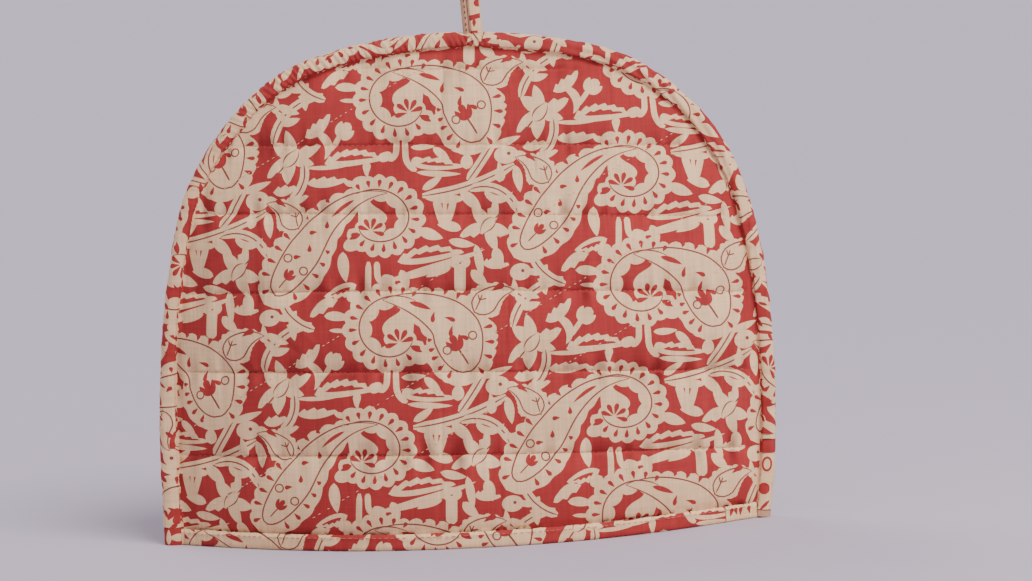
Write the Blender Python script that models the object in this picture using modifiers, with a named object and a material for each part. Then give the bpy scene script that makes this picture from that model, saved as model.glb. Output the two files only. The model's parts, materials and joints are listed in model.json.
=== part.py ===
"""Quilted tea cosy: two dome-shaped quilted panels, each bound along its hem, joined over the
curved edge by one rolled binding with a hanging loop sewn in at the top. It stands open on its
hem. Metres, +Z up, front face towards -Y, origin under the middle of the hem."""

import math

import bmesh
import bpy
import numpy as np
from mathutils import Matrix, Vector

# ---- Driving sizes ----

# The dome's outer edge in the plane of its side seams: x across, z above the hem, up the left
# side, over the top and down the right.
DOME_EDGE = (
    (-0.1653, 0.000),
    (-0.1650, 0.052),
    (-0.1620, 0.100),
    (-0.1558, 0.143),
    (-0.1448, 0.186),
    (-0.1238, 0.220),
    (-0.0908, 0.249),
    (-0.0458, 0.263),
    (0.0072, 0.267),
    (0.0572, 0.261),
    (0.0957, 0.249),
    (0.1292, 0.222),
    (0.1502, 0.187),
    (0.1612, 0.141),
    (0.1652, 0.090),
    (0.1640, 0.040),
    (0.1597, 0.000),
)
EDGE_STEPS = 12

OPEN_DEPTH = 0.052
OPEN_POWER = 2.2
OPEN_ROUND = 1.1
HEM_BOW = 0.0059
SEAM_HALF_GAP = 0.0026

GAP = 0.0003
EDGE_BINDING_WIDE = 0.0082
EDGE_BINDING_CORNER = 0.0104
EDGE_BINDING_THICK = 0.0104
EDGE_CORNER_REACH = 0.10
EDGE_CORNER_EASE = 0.6
# How far the roll is drawn in where its gathers are deepest, and the two lengths of those waves.
EDGE_UNEVEN = (0.0004, 0.031, 0.047)
EDGE_STATIONS = 92
# One half of the roll's section, from its flat inner face round to its outer side: shares of
# its width and of its thickness.
ROLL_SECTION = ((-0.50, 0.36), (-0.41, 0.50), (0.12, 0.50), (0.38, 0.37), (0.50, 0.13))

HEM_HIGH = 0.0090
HEM_THICK = 0.0066
HEM_TOP_THIN = 0.98
HEM_CORNER = 0.0015
HEM_STATIONS = 36

LOFT = 0.0072
STITCHED = 0.0030
EDGE_PINCH = 0.009
CHANNEL_ROUND = 0.55
SHALLOW_CHANNEL = 0.012
PANEL_INSET = 0.0009
PANEL_COLUMNS = 32
CHANNEL_ROWS = (0.0, 0.12, 0.34, 0.66, 0.88)
TOP_CHANNEL_ROWS = (0.0, 0.12, 0.3, 0.5, 0.66, 0.8, 0.9, 0.96)
CAP_ROWS = (0.0, 0.2, 0.5, 0.8, 1.0)

# Sewn lines across a panel, from the hem up: height at the middle, how much lower the right
# end lies than the left, and how far the middle rises above a straight line.
SEWN_LINES = (
    (0.0434, 0.0105, 0.0000),
    (0.0868, 0.0138, 0.0000),
    (0.1296, 0.0140, 0.0016),
    (0.1698, 0.0169, 0.0000),
    (0.2066, 0.0146, 0.0000),
    (0.2473, 0.0154, 0.0000),
)
BACK_LINES_DOWN = 0.0035
LINE_SPAN = 0.325

LOOP_FOOT = (0.0122, 0.2674)
LOOP_LEAN = math.radians(-2.7)
LOOP_HIGH = 0.046
LOOP_EYE_WIDE = 0.0150
LOOP_EYE_FROM = 0.52
LOOP_LEG_APART = 0.0052
LOOP_ROUND = 0.75
LOOP_EYE_ROUND = 0.8
LOOP_TOP_WIDE = 2.2
STRAP_WIDE = 0.0064
STRAP_THICK = 0.0026
# One quarter of the strap's section, from its edge to its face: shares of half its width and
# half its thickness.
STRAP_QUARTER = ((1.0, 0.55), (0.8, 1.0))
# How the strap turns about its own length, as shares of that length and angles: the left leg
# almost edge on, the right leg facing the front.
STRAP_TURNS = (
    (0.00, math.radians(-14)),
    (0.30, math.radians(-14)),
    (0.50, 0.0),
    (0.62, 0.0),
    (0.80, math.radians(78)),
    (1.00, math.radians(78)),
)
LOOP_STATIONS = 44

# Steps by which a height or a row's end is found, and the reach for measuring a direction.
FIND_STEPS = 12
PROBE = 0.0001
MERGE = 0.000001

COTTON_RED = (0.50, 0.055, 0.045, 1.0)
COTTON_CREAM = (0.62, 0.53, 0.40, 1.0)


# ---- Scene and materials ----

def clear_scene():
    for obj in list(bpy.data.objects):
        bpy.data.objects.remove(obj, do_unlink=True)


def cloth_material(name, colour, roughness):
    material = bpy.data.materials.new(name)
    material.use_nodes = True
    shader = material.node_tree.nodes["Principled BSDF"]
    shader.inputs["Base Color"].default_value = colour
    shader.inputs["Roughness"].default_value = roughness
    shader.inputs["Metallic"].default_value = 0.0
    return material


def add_piece(collection, name, bm, material):
    """A piece from a bmesh, shaded smooth."""
    mesh = bpy.data.meshes.new(name)
    bm.to_mesh(mesh)
    bm.free()
    mesh.shade_smooth()
    mesh.materials.append(material)
    obj = bpy.data.objects.new(name, mesh)
    collection.objects.link(obj)
    return obj


# ---- The dome's outline ----

def smooth_path(points, steps):
    """Points on a Catmull-Rom curve through the given ones."""
    pts = [Vector(p) for p in points]
    ends = [2 * pts[0] - pts[1]] + pts + [2 * pts[-1] - pts[-2]]
    path = []
    for a, b, c, d in zip(ends, ends[1:], ends[2:], ends[3:]):
        for i in range(steps):
            t = i / steps
            path.append(
                0.5 * (2 * b + (c - a) * t + (2 * a - 5 * b + 4 * c - d) * t**2
                       + (3 * b - 3 * c + d - a) * t**3)
            )
    return np.array(path + [pts[-1]])


def arc_lengths(path):
    steps = np.hypot(*np.diff(path, axis=0).T)
    return np.concatenate([[0.0], np.cumsum(steps)])


def outward_normals(path):
    tangent = np.gradient(path, axis=0)
    tangent /= np.hypot(*tangent.T)[:, None]
    return np.column_stack([-tangent[:, 1], tangent[:, 0]])


DOME = smooth_path(DOME_EDGE, EDGE_STEPS)
DOME_LENGTH = arc_lengths(DOME)
DOME_OUT = outward_normals(DOME)


def binding_wide(length):
    """Width of the edge binding, fatter near the lower left corner."""
    corner = max(0.0, 1 - length / EDGE_CORNER_REACH) ** EDGE_CORNER_EASE
    return EDGE_BINDING_WIDE + (EDGE_BINDING_CORNER - EDGE_BINDING_WIDE) * corner


BINDING_WIDE = np.array([binding_wide(length) for length in DOME_LENGTH])
PANEL_EDGE = DOME - DOME_OUT * (BINDING_WIDE + PANEL_INSET)[:, None]
PANEL_ANGLE = np.arctan2(np.maximum(PANEL_EDGE[:, 1], 0.0), PANEL_EDGE[:, 0])
PANEL_RADIUS = np.hypot(*PANEL_EDGE.T)
PEAK = int(np.argmax(PANEL_EDGE[:, 1]))


def openness(x, v):
    """How far the cosy stands open at a place on its pattern: 1 mid-hem, 0 at the edge."""
    angle = math.atan2(abs(v), x)
    radius = np.interp(angle, PANEL_ANGLE[::-1], PANEL_RADIUS[::-1])
    share = min(math.hypot(x, v) / radius, 1.0)
    return (1 - share**OPEN_POWER) ** OPEN_ROUND


def stand(x, v, side):
    """A place on a panel's pattern as it stands: side is -1 for the front, 1 for the back."""
    opened = openness(x, v)
    return Vector((x, side * (SEAM_HALF_GAP + OPEN_DEPTH * opened), v + HEM_BOW * opened))


def height_on_pattern(x, z):
    """The pattern height that stands at height z."""
    v = z
    for _ in range(FIND_STEPS):
        v = z - HEM_BOW * openness(x, v)
    return v


# ---- Quilted panels ----

def line_height(line, x, lower):
    middle, drop, rise = line
    across = 2 * x / LINE_SPAN
    return middle - lower - drop * across / 2 - rise * across**2


def side_reach(v, left):
    half = PANEL_EDGE[: PEAK + 1] if left else PANEL_EDGE[: PEAK - 1 : -1]
    return float(np.interp(v, half[:, 1], half[:, 0]))


def row_ends(height):
    """Where a row, given as height over x, meets the panel's curved edge."""
    ends = []
    for left in (True, False):
        x = side_reach(height(0.0), left)
        for _ in range(FIND_STEPS):
            x = side_reach(height(x), left)
        ends.append(x)
    return ends


def edge_top(x):
    """Height of the panel's edge straight above x."""
    return float(np.interp(x, PANEL_EDGE[:, 0], PANEL_EDGE[:, 1]))


def plumpness(share, tall, x, v):
    """0 at a sewn line, 1 where the wadding is full."""
    across = (4 * share * (1 - share)) ** CHANNEL_ROUND
    near = np.hypot(*(PANEL_EDGE - (x, v)).T).min()
    edge = 1 - math.exp(-near / EDGE_PINCH)
    return across * edge * (1 - math.exp(-tall / SHALLOW_CHANNEL))


def panel_rows(lower):
    """Rows of (x, v, thickness) from the hem up. Rows above the last sewn line share ends."""
    lines = [lambda x: height_on_pattern(x, HEM_HIGH + GAP)]
    lines += [lambda x, line=line: line_height(line, x, lower) for line in SEWN_LINES]
    rows = []
    for below, above in zip(lines, lines[1:]):
        for share in TOP_CHANNEL_ROWS if above is lines[-1] else CHANNEL_ROWS:
            height = lambda x: below(x) + (above(x) - below(x)) * share
            left, right = row_ends(height)
            row = []
            for column in range(PANEL_COLUMNS + 1):
                x = left + (right - left) * column / PANEL_COLUMNS
                tall = above(x) - below(x)
                row.append((x, height(x), plumpness(share, tall, x, height(x))))
            rows.append(row)
    last = lines[-1]
    left, right = row_ends(last)
    for share in CAP_ROWS:
        row = []
        for column in range(PANEL_COLUMNS + 1):
            x = left + (right - left) * column / PANEL_COLUMNS
            tall = max(edge_top(x) - last(x), 0.0) if 0 < column < PANEL_COLUMNS else 0.0
            v = last(x) + tall * share
            row.append((x, v, plumpness(share, tall, x, v) if tall else 0.0))
        rows.append(row)
    return rows


def quilted_panel(collection, name, side, lower, material):
    """The panel's middle surface, made thick by Solidify: full in each channel, thin at the
    sewn lines and along the edges."""
    rows = panel_rows(lower)
    bm = bmesh.new()
    fullness = bm.verts.layers.deform.verify()
    grid = []
    for row in rows:
        verts = []
        for x, v, plump in row:
            vert = bm.verts.new(stand(x, v, side))
            vert[fullness][0] = (STITCHED + (LOFT - STITCHED) * plump) / LOFT
            verts.append(vert)
        grid.append(verts)
    for low, high in zip(grid, grid[1:]):
        for a, b, c, d in zip(low, low[1:], high[1:], high):
            bm.faces.new((a, b, c, d) if side < 0 else (d, c, b, a))
    bmesh.ops.remove_doubles(bm, verts=bm.verts, dist=MERGE)
    obj = add_piece(collection, name, bm, material)
    obj.vertex_groups.new(name="fullness")
    solidify = obj.modifiers.new("Wadding", "SOLIDIFY")
    solidify.thickness = LOFT
    solidify.offset = 0.0
    solidify.vertex_group = "fullness"
    return obj


# ---- Bindings and loop ----

def loft(rings):
    """A closed solid through rings of points, with a flat cap at each end."""
    bm = bmesh.new()
    made = [[bm.verts.new(p) for p in ring] for ring in rings]
    for low, high in zip(made, made[1:]):
        count = len(low)
        for i in range(count):
            j = (i + 1) % count
            bm.faces.new((low[i], low[j], high[j], high[i]))
    bm.faces.new(made[0][::-1])
    bm.faces.new(made[-1])
    bmesh.ops.recalc_face_normals(bm, faces=bm.faces)
    return bm


def edge_binding(collection, material):
    """The roll over both panels' curved edge, from floor to floor."""
    total = DOME_LENGTH[-1]
    dent, long_wave, short_wave = EDGE_UNEVEN
    section = ROLL_SECTION + tuple((across, -through) for across, through in ROLL_SECTION[::-1])
    rings = []
    for station in range(EDGE_STATIONS + 1):
        length = total * station / EDGE_STATIONS
        place = np.array([np.interp(length, DOME_LENGTH, DOME[:, i]) for i in (0, 1)])
        out = np.array([np.interp(length, DOME_LENGTH, DOME_OUT[:, i]) for i in (0, 1)])
        if station in (0, EDGE_STATIONS):
            out = np.array([math.copysign(1.0, place[0]), 0.0])
        waves = math.sin(2 * math.pi * length / long_wave)
        waves += math.sin(2 * math.pi * length / short_wave)
        drawn_in = dent * (1 - waves / 2)
        wide = binding_wide(length) - drawn_in
        middle = place - out * (wide / 2 + drawn_in)
        ring = []
        for across, through in section:
            point = middle + out * across * wide
            ring.append((point[0], through * EDGE_BINDING_THICK, point[1]))
        rings.append(ring)
    return add_piece(collection, "edge_binding", loft(rings), material)


def hem_binding(collection, name, side, material):
    """The strip folded over a panel's lower edge, flat where it stands."""
    left = DOME_EDGE[0][0] + EDGE_BINDING_CORNER + GAP
    right = DOME_EDGE[-1][0] - EDGE_BINDING_WIDE - GAP
    rings = []
    for station in range(HEM_STATIONS + 1):
        x = left + (right - left) * (0.5 - 0.5 * math.cos(math.pi * station / HEM_STATIONS))
        ahead = [stand(x + step, height_on_pattern(x + step, 0.0), side) for step in (-PROBE, PROBE)]
        along = (ahead[1] - ahead[0]).normalized()
        across = Vector((along.y, -along.x, 0)).normalized()
        base = stand(x, height_on_pattern(x, 0.0), side)
        thick = min(HEM_THICK, 2 * (abs(base.y) - GAP / 2))
        half = thick / 2
        section = (
            (-half, HEM_CORNER),
            (-half + HEM_CORNER, 0),
            (half - HEM_CORNER, 0),
            (half, HEM_CORNER),
            (half * HEM_TOP_THIN, HEM_HIGH - HEM_CORNER),
            (half - HEM_CORNER, HEM_HIGH),
            (-half + HEM_CORNER, HEM_HIGH),
            (-half * HEM_TOP_THIN, HEM_HIGH - HEM_CORNER),
        )
        if station in (0, HEM_STATIONS):
            across = Vector((0, -1, 0))
        rings.append([Vector((base.x, base.y, up)) + across * out for out, up in section])
    return add_piece(collection, name, loft(rings), material)


def hanging_loop(collection, material):
    """A folded strap bent into a loop: its legs lie together at the foot and part above."""
    foot_x, foot_z = LOOP_FOOT
    lean = Matrix.Rotation(LOOP_LEAN, 3, "Y")
    path = []
    for station in range(LOOP_STATIONS + 1):
        t = station / LOOP_STATIONS
        turn = math.pi * t
        up = LOOP_HIGH * math.sin(turn) ** LOOP_ROUND
        eye = max(0.0, (up / LOOP_HIGH - LOOP_EYE_FROM) / (1 - LOOP_EYE_FROM))
        eye_share = math.sin(math.pi * eye**LOOP_EYE_ROUND)
        apart = LOOP_LEG_APART + (LOOP_EYE_WIDE - LOOP_LEG_APART) * eye_share
        near_top = min(1.0, abs(math.cos(turn)) * LOOP_TOP_WIDE)
        path.append(Vector((math.copysign(apart / 2 * near_top, -math.cos(turn)), 0, up)))
    quarter = list(STRAP_QUARTER)
    upper = quarter + [(-across, out) for across, out in quarter[::-1]]
    section = upper + [(across, -out) for across, out in upper[::-1]]
    rings = []
    for station, place in enumerate(path):
        ahead = path[min(station + 1, LOOP_STATIONS)] - path[max(station - 1, 0)]
        along = ahead.normalized()
        twist = float(np.interp(station / LOOP_STATIONS, *zip(*STRAP_TURNS)))
        wide = Matrix.Rotation(twist, 3, along) @ Vector((0, 1, 0))
        flat = along.cross(wide)
        ring = []
        for across, out in section:
            point = place + wide * across * STRAP_WIDE / 2 + flat * out * STRAP_THICK / 2
            ring.append(lean @ point + Vector((foot_x, 0, foot_z)))
        rings.append(ring)
    return add_piece(collection, "hanging_loop", loft(rings), material)


# ---- Assembly ----

def main():
    clear_scene()
    collection = bpy.data.collections.new("tea_cosy")
    bpy.context.scene.collection.children.link(collection)
    print_cotton = cloth_material("printed_cotton", COTTON_RED, 0.9)
    binding_cotton = cloth_material("binding_cotton", COTTON_CREAM, 0.9)
    quilted_panel(collection, "front_panel", -1, 0.0, print_cotton)
    quilted_panel(collection, "back_panel", 1, BACK_LINES_DOWN, print_cotton)
    hem_binding(collection, "hem_binding_front", -1, binding_cotton)
    hem_binding(collection, "hem_binding_back", 1, binding_cotton)
    edge_binding(collection, binding_cotton)
    hanging_loop(collection, binding_cotton)


main()
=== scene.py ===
import functools
import json
import math

import bpy
import numpy as np
from mathutils import Euler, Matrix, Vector
from mathutils.geometry import delaunay_2d_cdt

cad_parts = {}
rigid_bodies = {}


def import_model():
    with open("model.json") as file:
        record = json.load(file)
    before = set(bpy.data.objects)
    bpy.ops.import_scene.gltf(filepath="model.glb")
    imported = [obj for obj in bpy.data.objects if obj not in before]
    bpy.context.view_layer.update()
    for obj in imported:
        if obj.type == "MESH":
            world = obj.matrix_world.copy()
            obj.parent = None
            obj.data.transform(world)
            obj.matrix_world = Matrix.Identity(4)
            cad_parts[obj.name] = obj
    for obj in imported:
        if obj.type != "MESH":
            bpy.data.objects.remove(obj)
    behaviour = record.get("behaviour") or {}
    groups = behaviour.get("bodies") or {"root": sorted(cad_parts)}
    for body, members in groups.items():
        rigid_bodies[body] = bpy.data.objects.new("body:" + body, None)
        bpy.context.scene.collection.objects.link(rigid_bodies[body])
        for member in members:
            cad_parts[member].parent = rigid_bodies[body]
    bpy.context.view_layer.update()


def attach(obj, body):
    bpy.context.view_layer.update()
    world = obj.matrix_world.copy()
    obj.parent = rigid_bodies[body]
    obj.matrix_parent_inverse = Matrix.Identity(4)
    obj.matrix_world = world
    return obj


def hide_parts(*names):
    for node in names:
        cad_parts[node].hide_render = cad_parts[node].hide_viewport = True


for startup_object in list(bpy.data.objects):
    bpy.data.objects.remove(startup_object)
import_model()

# ---- The cosy's form ----
# A tea cosy: a dome of two quilted panels, sewn together along the curve, that stands open on
# its hem. A panel is drawn flat, in millimetres, x across and v up from the hem, and its face
# bulges out from the edge seam towards the middle of the hem.

DOME_EDGE = (
    (-165.3, 0), (-165.0, 52), (-162.0, 100), (-155.8, 143), (-144.8, 186), (-123.8, 220),
    (-90.8, 249), (-45.8, 263), (7.2, 267), (57.2, 261), (95.7, 249), (129.2, 222),
    (150.2, 187), (161.2, 141), (165.2, 90), (164.0, 40), (159.7, 0),
)
EDGE_STEPS = 12
# How far a panel's middle stands out from the edge seam, how it bellies out to there, and how
# far the hem bows up with it.
OPEN_DEPTH = 52.0
OPEN_POWER = 2.2
OPEN_ROUND = 1.1
HEM_BOW = 5.9
SEAM_HALF_GAP = 2.6
EDGE_WIDE = 8.2
EDGE_WIDE_CORNER = 10.4
EDGE_CORNER_REACH = 100.0
PANEL_INSET = 0.9
LINE_SPAN = 325.0

# Sewn lines from the hem up: height at the middle, how much lower the right end lies, and how
# far the middle rises above a straight line.
SEWN_LINES = ((43.4, 10.5, 0), (86.8, 13.8, 0), (129.6, 14.0, 1.6), (169.8, 16.9, 0),
              (206.6, 14.6, 0), (247.3, 15.4, 0))


def smooth_path(points, steps):
    """Points on a Catmull-Rom curve through the given ones."""
    pts = np.array(points, float)
    pts = np.vstack([2 * pts[0] - pts[1], pts, 2 * pts[-1] - pts[-2]])
    t = (np.arange(steps) / steps)[:, None]
    path = [0.5 * (2 * b + (c - a) * t + (2 * a - 5 * b + 4 * c - d) * t**2
                   + (3 * b - 3 * c + d - a) * t**3)
            for a, b, c, d in zip(pts, pts[1:], pts[2:], pts[3:])]
    return np.vstack(path + [pts[-2:-1]])


def run_of(path):
    """Length from the start of a path to each of its points."""
    steps = np.linalg.norm(np.diff(path, axis=0), axis=1)
    return np.concatenate([[0.0], np.cumsum(steps)])


def left_of(path):
    along = np.gradient(path, axis=0)
    along /= np.hypot(*along.T)[:, None] + 1e-9
    return np.column_stack([-along[:, 1], along[:, 0]])


def at_places(places, run, rows):
    """The rows of values, given along a run, at other places on it."""
    return np.column_stack([np.interp(places, run, column) for column in rows.T])


def along_path(path, places):
    return at_places(places, run_of(path), path)


DOME = smooth_path(DOME_EDGE, EDGE_STEPS)
DOME_RUN = run_of(DOME)
DOME_OUT = left_of(DOME)


def edge_wide(run):
    """Width of the rolled edge, fatter near the lower left corner."""
    corner = np.clip(1 - run / EDGE_CORNER_REACH, 0, 1) ** 0.6
    return EDGE_WIDE + (EDGE_WIDE_CORNER - EDGE_WIDE) * corner


PANEL_EDGE = DOME - DOME_OUT * (edge_wide(DOME_RUN) + PANEL_INSET)[:, None]
PANEL_ANGLE = np.arctan2(np.maximum(PANEL_EDGE[:, 1], 0.0), PANEL_EDGE[:, 0])
PANEL_RADIUS = np.hypot(*PANEL_EDGE.T)


def openness(x, v):
    """How far the cosy stands open at a place on its pattern: 1 mid-hem, 0 at the edge."""
    angle = np.arctan2(np.abs(v), x)
    radius = np.interp(angle, PANEL_ANGLE[::-1], PANEL_RADIUS[::-1])
    share = np.minimum(np.hypot(x, v) / radius, 1.0)
    return (1 - share**OPEN_POWER) ** OPEN_ROUND


def stand(x, v, side):
    """A place on a panel's middle surface as it stands: side is -1 for the front."""
    opened = openness(x, v)
    return np.column_stack([x, side * (SEAM_HALF_GAP + OPEN_DEPTH * opened), v + HEM_BOW * opened])


def height_on_pattern(x, z):
    """The pattern height that stands at height z."""
    v = np.full_like(x, float(z))
    for _ in range(6):
        v = z - HEM_BOW * openness(x, v)
    return v


def line_height(line, x, lower):
    middle, drop, rise = line
    across = 2 * x / LINE_SPAN
    return middle - lower - drop * across / 2 - rise * across**2


def edge_distance(x, v):
    """How far inside the panel's curved edge a place lies."""
    near = np.full(len(x), 1e9)
    for a, b in zip(PANEL_EDGE[::2], PANEL_EDGE[2::2]):
        t = np.clip(((x - a[0]) * (b[0] - a[0]) + (v - a[1]) * (b[1] - a[1])) / ((b - a) @ (b - a)), 0, 1)
        near = np.minimum(near, np.hypot(x - a[0] - t * (b[0] - a[0]), v - a[1] - t * (b[1] - a[1])))
    return near


# ---- The block print ----
# Cream shapes on the red ground of a wood-block print on cotton, with fine dark lines: a curled
# and a leaning paisley in every repeat, and leaves, flowers, birds and stems between them. It is
# drawn in chart steps, and every motif is built of spirals, drops, ribbons and ovals.

# The fourth tone is the plain lining on the panels. On the strips it is painted shade: brown cloth where a
# fold turns from the light.
RED, CREAM, INK, LINING_AND_SHADE = 0, 1, 2, 3
CHART_STEP = 0.533
REPEAT_UP = (8, 227)
REPEAT_OVER = (244, 45)
REPEATS_EACH_WAY = 9
OVAL_POINTS = 18
STEM, LEAF, DROP, BLADE, BEAN = range(5)


def fullness(kind, t):
    """How the half width of a ribbon runs from its start (0) to its end (1)."""
    if kind == STEM:
        return np.minimum(1.0, np.minimum(0.45 + 5 * t, 0.45 + 5 * (1 - t)))
    if kind == LEAF:
        return np.sin(np.pi * t**0.8) ** 0.75
    if kind == BEAN:
        return np.sqrt(np.clip(1 - np.abs(2 * t - 1) ** 3, 0, 1))
    if kind == BLADE:
        t = 1 - t
    round_end = np.sqrt(np.clip(1 - ((t - 0.66) / 0.34) ** 2, 0, 1))
    return np.where(t < 0.66, (t / 0.66) ** 0.85, round_end)


def across_and_up(degrees):
    """The cosine and sine of a heading."""
    return math.cos(math.radians(degrees)), math.sin(math.radians(degrees))


def pen(start, heading, *moves):
    """The line a pen draws from a point: each move runs on for a length and bends left."""
    x, y = start
    points = [(x, y)]
    for length, bend in moves:
        count = max(2, round(length / 6), round(abs(bend) / 15))
        for _ in range(count):
            heading += bend / count / 2
            c, s = across_and_up(heading)
            x += length / count * c
            y += length / count * s
            heading += bend / count / 2
            points.append((x, y))
    return np.array(points)


def heading_of(step):
    return math.degrees(math.atan2(step[1], step[0]))


def even(path, count):
    return along_path(path, np.linspace(0, run_of(path)[-1], count))


def notches(t, count, depth):
    """Scallops for a positive depth, teeth for a negative one."""
    if depth >= 0:
        return depth * (np.abs(np.sin(np.pi * count * t)) - 0.6)
    return -depth * (np.mod(count * t + 1e-6, 1) - 0.5)


def ribbon(path, wide, kind=LEAF, left=None, right=None):
    """A shape round a path; left and right are (count, depth) of notches along that edge."""
    count = max([len(path), 11] + [4 * edge[0] + 1 for edge in (left, right) if edge])
    path = even(path, count)
    t = np.linspace(0, 1, count)
    if kind == BEAN:
        t = 0.5 - 0.5 * np.cos(np.pi * t)
    path = along_path(path, t * run_of(path)[-1])
    full = fullness(kind, t)
    sides = []
    for sign, edge in ((1, left), (-1, right)):
        reach = wide / 2 * full
        if edge:
            reach = np.maximum(reach + notches(t, *edge) * np.minimum(1, 4 * full), 0)
        sides.append(path + sign * left_of(path) * reach[:, None])
    return np.vstack([sides[0], sides[1][::-1]])


def beside(path, widths, count, depth):
    """A band along the right of a path, its far edge scalloped; widths run evenly along it."""
    path = even(path, 5 * count + 1)
    t = np.linspace(0, 1, len(path))
    reach = np.interp(t, np.linspace(0, 1, len(widths)), widths)
    reach = reach + depth * (np.abs(np.sin(np.pi * count * t)) - 1)
    return np.vstack([path, (path - left_of(path) * reach[:, None])[::-1]])


def oval(x, y, rx, ry, turn=0):
    angle = np.linspace(0, 2 * math.pi, OVAL_POINTS, endpoint=False)
    c, s = across_and_up(turn)
    px, py = rx * np.cos(angle), ry * np.sin(angle)
    return np.column_stack([x + px * c - py * s, y + px * s + py * c])


SEED_WIDE = 4.2


def seeds(path, count, near, longs, side, leans):
    """A row of drops standing off a path, one to a scallop; longs and leans run evenly along it."""
    path = even(path, 8 * count + 1)
    out = side * left_of(path)
    made = []
    for i in range(count):
        place = 8 * i + 4
        long = np.interp(i, np.linspace(0, count - 1, len(longs)), longs)
        lean = np.interp(i, np.linspace(0, count - 1, len(leans)), leans)
        start = path[place] + out[place] * near
        made.append(ribbon(pen(start, heading_of(out[place]) + lean, (long, 0)), SEED_WIDE, DROP))
    return made


def stroke(start, heading, move, wide, kind=LEAF):
    """A ribbon round a single move of the pen."""
    return ribbon(pen(start, heading, move), wide, kind)


def in_tone(tone, *shapes):
    return [(tone, shape) for shape in shapes]


red, cream, ink = [functools.partial(in_tone, tone) for tone in (RED, CREAM, INK)]


def drawn(path, wide=1.4):
    """A fine dark line along a path."""
    return ink(ribbon(path, wide, STEM))


# Width of the scalloped band round a paisley, how slim the leaves are cut, and the width of the
# paisleys' drawn lines.
BAND = 13.5
SPRIG_SLIM = 0.86
OUTLINE = 1.5


def moved(art, x, y, turn=0, size=1.0, mirror=1):
    """A motif turned by degrees, mirrored left to right first if mirror is -1, and put in place."""
    c, s = across_and_up(turn)
    matrix = size * np.array(((c, s), (-s, c))) * np.array(((mirror,), (1,)))
    return [(tone, shape @ matrix + (x, y)) for tone, shape in art]


def leaf(long, wide, bend=0, teeth=0, slot=False):
    """A leaf that grows along x from its stalk: teeth stand on its left edge, a slot may cut it."""
    midrib = pen((0, 0), -bend / 2, (long, bend))
    art = cream(ribbon(midrib, SPRIG_SLIM * wide, left=(teeth, -3.5) if teeth else None))
    if slot:
        art += red(ribbon(even(midrib, 12)[2:10], 0.28 * wide, left=(4, -2.4)))
    return art


def double_stem(long, bend, leaves=0):
    """A stem with a line down its middle and leaves on alternate sides."""
    path = pen((0, 0), -bend / 2, (long, bend))
    art = []
    for number in range(leaves):
        share = (number + 0.7) / (leaves + 0.4)
        side = 1 if number % 2 else -1
        place = along_path(path, [share * long])[0]
        heading = bend * (share - 0.5) + side * 48
        art += moved(leaf(21, 10, -side * 30, 3 if number % 2 else 0), *place, heading)
    return art + cream(ribbon(path, 9, STEM)) + drawn(path)


def bird(tail=True):
    """A small bird's head and neck on a leafy tail, looking along x."""
    neck = ribbon(pen((-6, -18), 78, (17, 26)), 8, BLADE)
    head = oval(0, 4, 9.5, 7.5, 8)
    beak = stroke((6, 5), -6, (12, -24), 6)
    art = cream(neck, head, beak) + ink(oval(2, 5, 1.5, 1.5))
    if tail:
        art += moved(leaf(22, 9, 24), -3, -10, -24) + moved(leaf(18, 7, 20), -5, -16, -40)
    return art


def eye_flower(petals=6):
    """A flower of unlike petals round a long eye with a stalk."""
    art = []
    for number in range(petals):
        heading = 360 * number / petals + 18 * (number % 2)
        teeth = 3 if number % 3 == 0 else 0
        art += moved(leaf(27 - 3 * (number % 3), 14 - 2 * (number % 2), 16, teeth), 0, 0, heading)
    eye = pen((-9, -5), 18, (20, 22))
    art += ink(ribbon(eye, 11)) + cream(ribbon(eye, 8.4))
    return art + drawn(pen((-9, -5), 205, (12, 12)))


def tulip(tone=RED, long=15):
    """A tulip that grows along x: a stalk, a middle drop and two bent side petals."""
    stalk_tone, stalk_wide, fuller = (INK, 1.5, 1) if tone == RED else (CREAM, 5, 1.7)
    art = in_tone(stalk_tone, stroke((0, 0), 0, (long, 6), stalk_wide, STEM))
    for heading, reach, wide, kind in ((0, 0.9, 6, DROP), (48, 0.85, 5, LEAF), (-48, 0.85, 5, LEAF)):
        move = (reach * long, -heading * 0.8)
        art += in_tone(tone, stroke((long - 2, 0.5), heading, move, fuller * wide, kind))
    return art


def hook(long, sweep):
    """A straight stalk that bends round at its end over a bean-shaped foot."""
    stalk = ribbon(pen((0, 0), 0, (long, 0), (long, sweep)), 6, STEM)
    return cream(stalk, stroke((long + 4, 0.3 * long * np.sign(sweep)), sweep, (14, 0), 10, BEAN))


def stalks():
    """Three stalks that fan out along x from a leafy base."""
    art = []
    for heading, wide in ((-24, 7), (0, 4), (24, 8)):
        art += cream(stroke((0, 0), heading, (28, -heading / 2), wide, STEM))
    return art + moved(leaf(38, 10), 27, -19, 90) + moved(leaf(24, 12, 20), -3, -16, 78)


def pillar():
    """A thick stalk along x with a bean-shaped cap."""
    art = cream(stroke((0, 0), 0, (30, 0), 11, STEM), stroke((30, -10), 90, (20, 0), 13, BEAN))
    return art + ink(oval(29, 0, 1.2, 1.2))


def bud():
    """A little paisley that grows along x, with a leaf and a twig in it."""
    middle = pen((0, 0), 24, (24, -20), (24, -46))[::-1]
    body = ribbon(middle, 24, DROP)
    art = cream(ribbon(middle, 36, DROP, right=(8, 1.8)), body)
    art += drawn(np.vstack([body, body[:1]]), 1.45) + red(stroke((26, 10), 8, (14, -30), 6, DROP))
    for start, heading, move in (((2, 3), 30, (17, 6)), ((11, 9), 72, (6, 0)), ((12, 9), -22, (6, 0))):
        art += drawn(pen(start, heading, move))
    return art


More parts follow.
